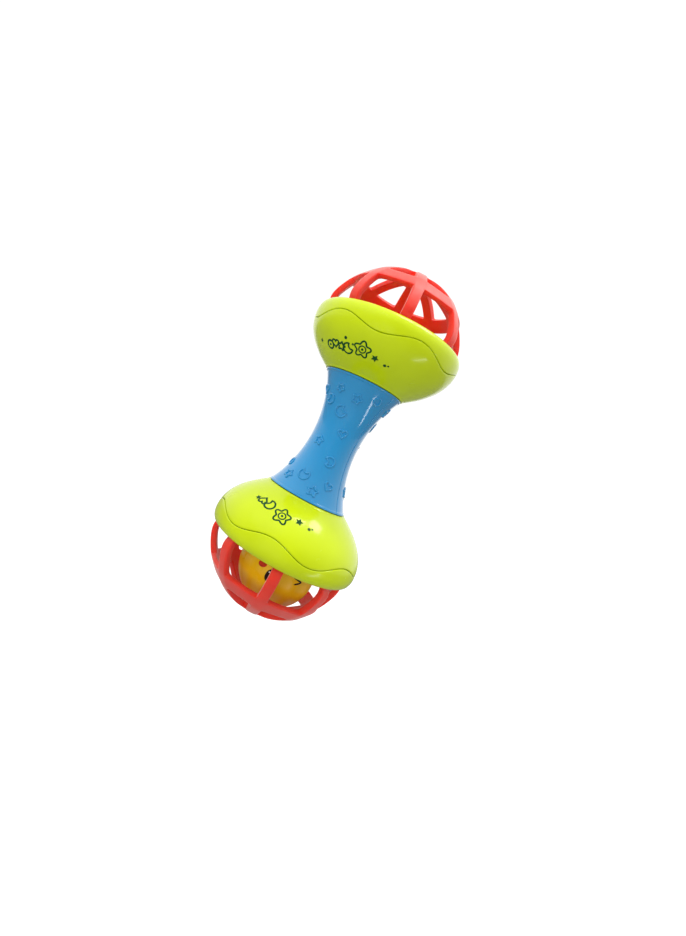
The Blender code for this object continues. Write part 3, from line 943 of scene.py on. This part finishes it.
LOWER_PRINT = (
    ("heart", -32.6, 35.3, 4.2, math.pi, 0.8), ("moon", -25.0, 35.5, 4.6, 2.6, 0.8),
    ("star", -39.0, 35.6, 2.6, 0.4, FILLED), ("star", 4.2, 35.7, 3.4, 0.1, FILLED),
    ("disc", 13.7, 36.4, 1.3, 0, FILLED), ("disc", 16.4, 36.0, 0.8, 0, FILLED),
    ("flower", -10.2, 36.7, 7.4, 0, 0.75), ("disc", -10.2, 36.7, 3.0, 0, 0.6),
    ("disc", -10.2, 36.7, 1.1, 0, FILLED),
)


def grip_relief(work, rear):
    """The raised outlines on one half of the grip."""
    heights = [HANDLE_END * (i / GRIP_ROWS) for i in range(-GRIP_ROWS, GRIP_ROWS + 1)]
    sheet = Turned([(handle_radius(z), z) for z in heights])
    parting = math.degrees(PARTING_AZIMUTH)
    for shape, azimuth, height, size, turn in GRIP_SHAPES:
        if (parting < azimuth < parting + 180) == rear:
            path = SHAPE_PATHS[shape](size * MM, math.radians(turn))
            spot = sheet.spot(math.radians(azimuth), height * MM)
            add_stroke(work, spot, path, RIDGE_WIDTH, RIDGE)


def cup_print(work, end):
    """A row of small printed motifs round the front of a bowl."""
    sheet = Turned(BULB_OUTLINE, end)
    motifs = UPPER_PRINT if end > 0 else LOWER_PRINT
    for shape, azimuth, height, size, turn, line in motifs:
        spot = sheet.spot(math.radians(azimuth), end * height * MM)
        path = SHAPE_PATHS[shape](size * MM, turn)
        if line == FILLED:
            add_patch(work, spot, path, INK)
        else:
            add_stroke(work, spot, path, line * MM, INK)


# ---------------------------------------------------------------- ball and pellets


def ball_half(name, side, finish):
    """Half of the ball, split across Y, with a fine rounded seam."""
    gap, bend = BALL_GAP, BALL_SEAM_ROUND
    start = math.asin((gap + bend) / BALL_RADIUS)
    outside = [start + (math.pi / 2 - start) * i / 40 for i in range(41)]
    outline = [(BALL_RADIUS * math.cos(a), BALL_RADIUS * math.sin(a)) for a in outside]
    outline = [(0, BALL_RADIUS)] + outline[-2::-1]
    outline += arc((outline[-1][0] - bend, gap + bend), bend, 0, -90, 5)[1:]
    inner = BALL_RADIUS - BALL_WALL
    inside = [math.pi / 2 * i / 24 for i in range(24)]
    outline += [(inner * math.cos(a), gap + (inner - gap) * math.sin(a)) for a in inside]
    outline.append((0, inner))
    turn = Matrix.Translation(BALL_CENTRE) @ Matrix.Rotation(-side * math.pi / 2, 4, "X")
    return turned(name, outline, BALL_SIDES, finish, turn)


def pellets(name, finish):
    """One pellet under the ball's centre and the others in a ring around it."""
    work = bmesh.new()
    for k in range(PELLETS):
        spread = PELLET_SPREAD if k else 0
        azimuth = 2 * math.pi * k / (PELLETS - 1)
        offset = around(PELLET_ORBIT * math.sin(spread), azimuth, -PELLET_ORBIT * math.cos(spread))
        outline = [(max(0, r), z) for r, z in arc((0, 0), PELLET_RADIUS, -90, 90, 20)]
        middle = Matrix.Translation(BALL_CENTRE + Vector(offset))
        add_turned(work, outline, PELLET_SIDES, middle)
    return finish_mesh(work, name, finish)


BALL_SHEET = Globe(BALL_CENTRE, BALL_RADIUS)
# Middles of the features on the ball: (azimuth, elevation)
EYE = (math.radians(-4.5), math.radians(-2.0))
WINK = (math.radians(36.0), math.radians(6.0))
MOUTH = (math.radians(15.0), math.radians(26.0))
EYE_OVAL = (3.4 * MM, 5.6 * MM, math.radians(-8))
# The wink's two strokes meet at its tip; each has a (length, height)
WINK_TIP = 2.4 * MM
WINK_UPPER = (5.0 * MM, 1.3 * MM)
WINK_LOWER = (3.4 * MM, 1.6 * MM)
WINK_UPPER_LINE = 0.9 * MM
WINK_LOWER_LINE = 0.75 * MM
SMILE_WIDTH = 5.4 * MM
SMILE_DEPTH = 3.4 * MM
SMILE_DROP = 2.0 * MM
SMILE_START, SMILE_SWEEP = 25, 130
SMILE_LINE = 0.9 * MM
GLINTS = ((1.3 * MM, (0.5 * MM, -1.1 * MM)), (0.7 * MM, (-0.5 * MM, 1.3 * MM)))  # (size, place)
CHEEK_WIDTH, CHEEK_HEIGHT = 4.0 * MM, 2.8 * MM
CHEEKS = ((-20, 7, 0.3), (54, 16, -0.3))  # (azimuth and elevation in degrees, turn in radians)


def oval(width, height, turn=0.0):
    c, s = math.cos(turn), math.sin(turn)
    points = polar(lambda a: 0.5, 40)
    return [(x * width * c - y * height * s, x * width * s + y * height * c) for x, y in points]


def face_black(work):
    """The open eye, the wink and the smile. The face is upside down as the ball lies."""
    add_patch(work, BALL_SHEET.spot(*EYE), oval(*EYE_OVAL), INK)
    wink = BALL_SHEET.spot(*WINK)
    upper, lower = [], []
    for i in range(11):
        x = WINK_TIP - WINK_UPPER[0] * (1 - i / 10)
        upper.append((x, WINK_UPPER[1] * (1 - (i / 10) ** 1.5)))
    for i in range(9):
        lower.append((WINK_TIP - WINK_LOWER[0] * i / 8, -WINK_LOWER[1] * (i / 8) ** 0.9))
    add_stroke(work, wink, upper, WINK_UPPER_LINE, INK, closed=False, taper=True)
    add_stroke(work, wink, lower, WINK_LOWER_LINE, INK, closed=False, taper=True)
    smile = [math.radians(SMILE_START + SMILE_SWEEP * i / 24) for i in range(25)]
    curve = [(SMILE_WIDTH * math.cos(a), SMILE_DEPTH * math.sin(a) - SMILE_DROP) for a in smile]
    add_stroke(work, BALL_SHEET.spot(*MOUTH), curve, SMILE_LINE, INK, closed=False, taper=True)


def face_white(work):
    """Two glints on top of the open eye's ink."""
    spot = BALL_SHEET.spot(*EYE)
    for size, (x, y) in GLINTS:
        add_patch(work, spot, shifted(disc(size), x, y), 2 * INK, centre=(x, y))


def face_red(work):
    """The two cheeks."""
    for azimuth, elevation, turn in CHEEKS:
        spot = BALL_SHEET.spot(math.radians(azimuth), math.radians(elevation))
        add_patch(work, spot, oval(CHEEK_WIDTH, CHEEK_HEIGHT, turn), INK)


# ---------------------------------------------------------------- the rattle


def build_rattle():
    """Every piece, on its body and in place of its CAD node."""
    for label, end in ENDS:
        cup = ring(f"{label}_cup_skin", cup_section, end, LIME)
        place(cup, "rattle", [f"{label}_cup"])
        collar = ring(f"{label}_collar_skin", collar_section, end, LIME)
        place(collar, "rattle", [f"{label}_collar"])
        place(cage(f"{label}_cage_skin", end, RED), "rattle", [f"{label}_cage"])
        screw_skin = screw(f"handle_screw_{label}_skin", end, STEEL)
        place(screw_skin, "rattle", [f"handle_screw_{label}"])
        drawing(f"{label}_cup_print", GREEN_INK, "rattle", None, cup_print, end)
    front = handle_half("handle_front_skin", -1, BLUE)
    place(front, "rattle", ["handle_shell_front"])
    rear = rear_half("handle_rear_skin", BLUE)
    place(rear, "rattle", ["handle_shell_rear"])
    drawing("grip_relief_front", BLUE, "rattle", "blue_plastic", grip_relief, False)
    drawing("grip_relief_rear", BLUE, "rattle", "blue_plastic", grip_relief, True)
    place(ball_half("ball_front_skin", -1, YELLOW), "ball", ["ball_shell_front"])
    place(ball_half("ball_back_skin", 1, YELLOW), "ball", ["ball_shell_back"])
    drawing("ball_face_black", BLACK_INK, "ball", None, face_black)
    drawing("ball_face_white", WHITE_INK, "ball", None, face_white)
    drawing("ball_face_red", RED_INK, "ball", None, face_red)
    nodes = [f"rattle_pellet_{k + 1}" for k in range(PELLETS)]
    place(pellets("pellets_skin", PELLET), "pellets", nodes)


# ---------------------------------------------------------------- stage, light and camera


FLOOR_DROP = 0.3
FLOOR_RADIUS = 6.0
FLOOR_GLOW = 0.25


def floor():
    """A plain pale floor some way below the rattle. It throws less light than it shows."""
    nodes = Nodes("pale_floor")
    nodes.colour(nodes.noise(3), (0.90, 0.90, 0.90), (0.93, 0.93, 0.93))
    nodes.set(roughness=0.6, emission_strength=FLOOR_GLOW)
    nodes.shader.inputs["Emission Color"].default_value = (1, 1, 1, 1)
    dull = nodes.tree.nodes.new("ShaderNodeBsdfDiffuse")
    dull.inputs["Color"].default_value = (0.3, 0.3, 0.3, 1)
    mix = nodes.tree.nodes.new("ShaderNodeMixShader")
    seen = nodes.tree.nodes.new("ShaderNodeLightPath").outputs["Is Camera Ray"]
    nodes.link(seen, mix, 0)
    nodes.link(dull.outputs[0], mix, 1)
    nodes.link(nodes.shader.outputs[0], mix, 2)
    nodes.link(mix.outputs[0], nodes.tree.nodes["Material Output"], "Surface")
    work = bmesh.new()
    level = CAD_BOX[0].z - FLOOR_DROP
    low = Matrix.Translation((0, 0, level))
    bmesh.ops.create_circle(work, cap_ends=True, segments=96, radius=FLOOR_RADIUS, matrix=low)
    mesh = bpy.data.meshes.new("floor")
    work.to_mesh(mesh)
    work.free()
    obj = bpy.data.objects.new("floor", mesh)
    mesh.materials.append(nodes.material)
    bpy.context.scene.collection.objects.link(obj)


# The camera's attitude: it is turned a little to the left, tilted up and rolled.
CAMERA_PLACE = Vector((0, -0.2165, -0.00426))
CAMERA_YAW, CAMERA_PITCH, CAMERA_ROLL = -0.1287, 0.0283, 0.4749
CAMERA_LENS = 18.105
CAMERA_SENSOR = 36.0
CAMERA_SHIFT = (0.0644, -0.0628)


def camera_axes():
    """Right, up and forward of the camera."""
    turn = Matrix.Rotation(-CAMERA_YAW, 3, "Z") @ Matrix.Rotation(CAMERA_PITCH, 3, "X")
    forward = turn @ Vector((0, 1, 0))
    roll = Matrix.Rotation(-CAMERA_ROLL, 3, forward)
    return roll @ turn @ Vector((1, 0, 0)), roll @ turn @ Vector((0, 0, 1)), forward


def camera():
    right, up, forward = camera_axes()
    data = bpy.data.cameras.new("camera")
    data.lens = CAMERA_LENS
    data.sensor_width = CAMERA_SENSOR
    data.shift_x, data.shift_y = CAMERA_SHIFT
    data.clip_start, data.clip_end = 0.01, 20
    obj = bpy.data.objects.new("camera", data)
    turn = Matrix((right, up, -forward)).transposed().to_4x4()
    obj.matrix_world = Matrix.Translation(CAMERA_PLACE) @ turn
    bpy.context.scene.collection.objects.link(obj)
    bpy.context.scene.camera = obj


def softbox(name, direction, distance, size, power, along, shows=True):
    """A soft area light of a (width, length) that looks at the rattle's middle from a direction.

    Its length runs along the given vector. With shows=False the gloss does not mirror it.
    """
    data = bpy.data.lights.new(name, "AREA")
    data.shape = "RECTANGLE"
    data.size, data.size_y = size
    data.energy = power
    obj = bpy.data.objects.new(name, data)
    back = direction.normalized()
    wide = along.cross(back).normalized()
    turn = Matrix((wide, back.cross(wide), back)).transposed().to_4x4()
    obj.matrix_world = Matrix.Translation(back * distance) @ turn
    obj.visible_glossy = shows
    bpy.context.scene.collection.objects.link(obj)


BOX_SIZE = (0.16, 0.16)
BOX_POWER = 0.9
# The lights that show in the gloss: (name, direction, distance, (width, length), watts, along)
MIRRORED_LIGHTS = (
    ("box_left", (0.089, -0.102, 0.991), 0.684, BOX_SIZE, BOX_POWER, (1, 0, 0)),
    ("box_right", (0.385, 0.003, 0.923), 0.686, BOX_SIZE, BOX_POWER, (1, 0, 0)),
    ("strip", (0.78, -0.44, -0.43), 0.7, (0.05, 0.36), 0.35, (0.555, 0.213, 0.804)),
)
KEY_DISTANCE, KEY_SIZE, KEY_POWER = 1.2, (0.9, 0.9), 4.8
FILL_DISTANCE, FILL_SIZE, FILL_POWER = 1.4, (1.0, 1.0), 10.5


def lights():
    """Two boxes that show on the lower bowl, a strip on the grip, a soft key and a fill."""
    for name, direction, distance, size, power, along in MIRRORED_LIGHTS:
        softbox(name, Vector(direction), distance, size, power, Vector(along))
    right, up, forward = camera_axes()
    key = up - 0.5 * forward - 0.2 * right
    softbox("key", key, KEY_DISTANCE, KEY_SIZE, KEY_POWER, right, shows=False)
    fill = 0.05 * up - forward - 0.4 * right
    softbox("fill", fill, FILL_DISTANCE, FILL_SIZE, FILL_POWER, up, shows=False)


# The sky's strength as a light at its dim and bright sides, and as it is seen
SKY_DIM, SKY_BRIGHT, SKY_SHOWN = 0.2, 1.15, 1.05
SKY_DIM_UNTIL, SKY_BRIGHT_FROM = -0.9, 0.7


def sky():
    """White to the eye. As a light it is bright above and behind the rattle, and dim elsewhere."""
    right, up, forward = camera_axes()
    bright = (forward * 0.75 + up * 0.5 + right * 0.3).normalized()
    world = bpy.data.worlds.new("studio")
    world.use_nodes = True
    tree = world.node_tree
    tree.nodes.clear()
    output = tree.nodes.new("ShaderNodeOutputWorld")
    mix = tree.nodes.new("ShaderNodeMixShader")
    seen = tree.nodes.new("ShaderNodeLightPath").outputs["Is Camera Ray"]
    direction = tree.nodes.new("ShaderNodeTexCoord").outputs["Generated"]
    facing = tree.nodes.new("ShaderNodeVectorMath")
    facing.operation = "DOT_PRODUCT"
    facing.inputs[1].default_value = bright
    level = tree.nodes.new("ShaderNodeMapRange")
    level.interpolation_type = "SMOOTHSTEP"
    level.inputs["From Min"].default_value = SKY_DIM_UNTIL
    level.inputs["From Max"].default_value = SKY_BRIGHT_FROM
    level.inputs["To Min"].default_value = SKY_DIM
    level.inputs["To Max"].default_value = SKY_BRIGHT
    lit = tree.nodes.new("ShaderNodeBackground")
    shown = tree.nodes.new("ShaderNodeBackground")
    for background in (lit, shown):
        background.inputs["Color"].default_value = (1, 1, 1, 1)
    shown.inputs["Strength"].default_value = SKY_SHOWN
    for output_socket, input_socket in (
        (direction, facing.inputs[0]),
        (facing.outputs["Value"], level.inputs["Value"]),
        (level.outputs["Result"], lit.inputs["Strength"]),
        (seen, mix.inputs[0]),
        (lit.outputs[0], mix.inputs[1]),
        (shown.outputs[0], mix.inputs[2]),
        (mix.outputs[0], output.inputs["Surface"]),
    ):
        tree.links.new(output_socket, input_socket)
    bpy.context.scene.world = world


build_rattle()
floor()
camera()
lights()
sky()
bpy.context.scene.view_settings.view_transform = "Standard"
